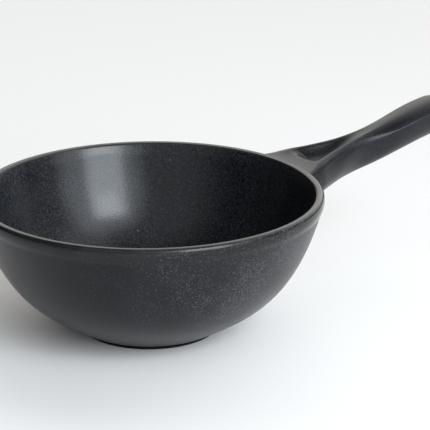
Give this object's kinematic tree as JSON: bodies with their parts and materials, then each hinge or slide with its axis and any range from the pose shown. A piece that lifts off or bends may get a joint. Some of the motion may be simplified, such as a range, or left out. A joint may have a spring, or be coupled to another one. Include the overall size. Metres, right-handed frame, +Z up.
{
  "type": "porcelain saucepan",
  "caption": "Black porcelain saucepan: round-bottomed bowl on a low foot, raised rim collar with a sloping lip, and a hollow handle with a teardrop scoop.",
  "frame": {"origin": "centre of the foot ring on the table, on the bowl's axis", "axes": "+Z up along the bowl's axis, +X along the handle towards its tip, +Y across the pan"},
  "size_m": [0.318, 0.2, 0.1062],
  "materials": {
    "outer_glaze": "matt, finely speckled",
    "rim_glaze": "satin, a little warmer and paler",
    "inner_glaze": "satin",
    "bare_clay": "unglazed, dry"
  },
  "bodies": {
    "root": {"bowl": "outer_glaze", "rim_collar": "rim_glaze", "foot_ring": "bare_clay", "handle_top": "outer_glaze", "handle_underside": "outer_glaze", "handle_slip": "rim_glaze", "inner_glaze": "inner_glaze"}
  },
  "joints": []
}
